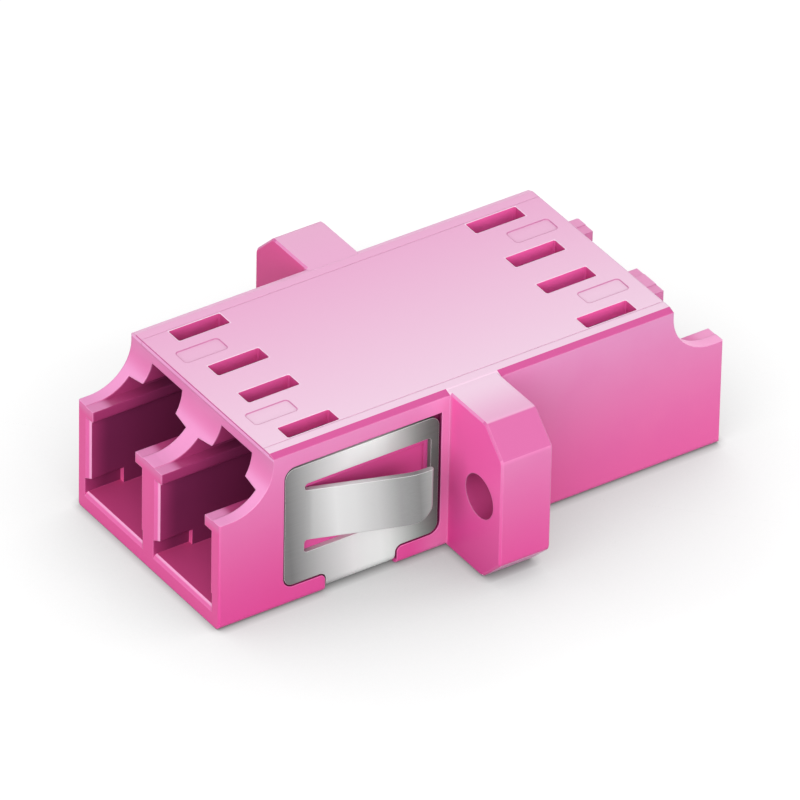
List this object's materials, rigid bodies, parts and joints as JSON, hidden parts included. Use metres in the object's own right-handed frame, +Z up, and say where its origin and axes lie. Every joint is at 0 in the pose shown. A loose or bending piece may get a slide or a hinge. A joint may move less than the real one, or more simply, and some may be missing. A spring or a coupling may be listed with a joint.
{
  "type": "fibre optic adapter",
  "caption": "Flanged duplex fibre adapter with keyed, latch-windowed ports at each end, inner alignment sleeves and a folded spring panel clip.",
  "frame": {"origin": "centre of the underside of the housing's box, under the middle of the flange", "axes": "+Y along the fibres towards the rear ports, +X across the two ports, +Z up through the latch windows"},
  "size_m": [0.022, 0.0298, 0.0092],
  "materials": {
    "moulded_housing": "satin moulded violet-pink plastic",
    "moulded_cover": "satin moulded violet-pink plastic",
    "moulded_holder": "moulded violet-pink plastic",
    "ceramic": "polished white zirconia",
    "spring_steel": "satin stainless spring sheet"
  },
  "bodies": {
    "root": {"housing": "moulded_housing", "top_cover": "moulded_cover", "sleeve_holder_front": "moulded_holder", "sleeve_holder_rear": "moulded_holder", "split_sleeve_left": "ceramic", "split_sleeve_right": "ceramic", "spring_clip": "spring_steel"}
  },
  "joints": []
}
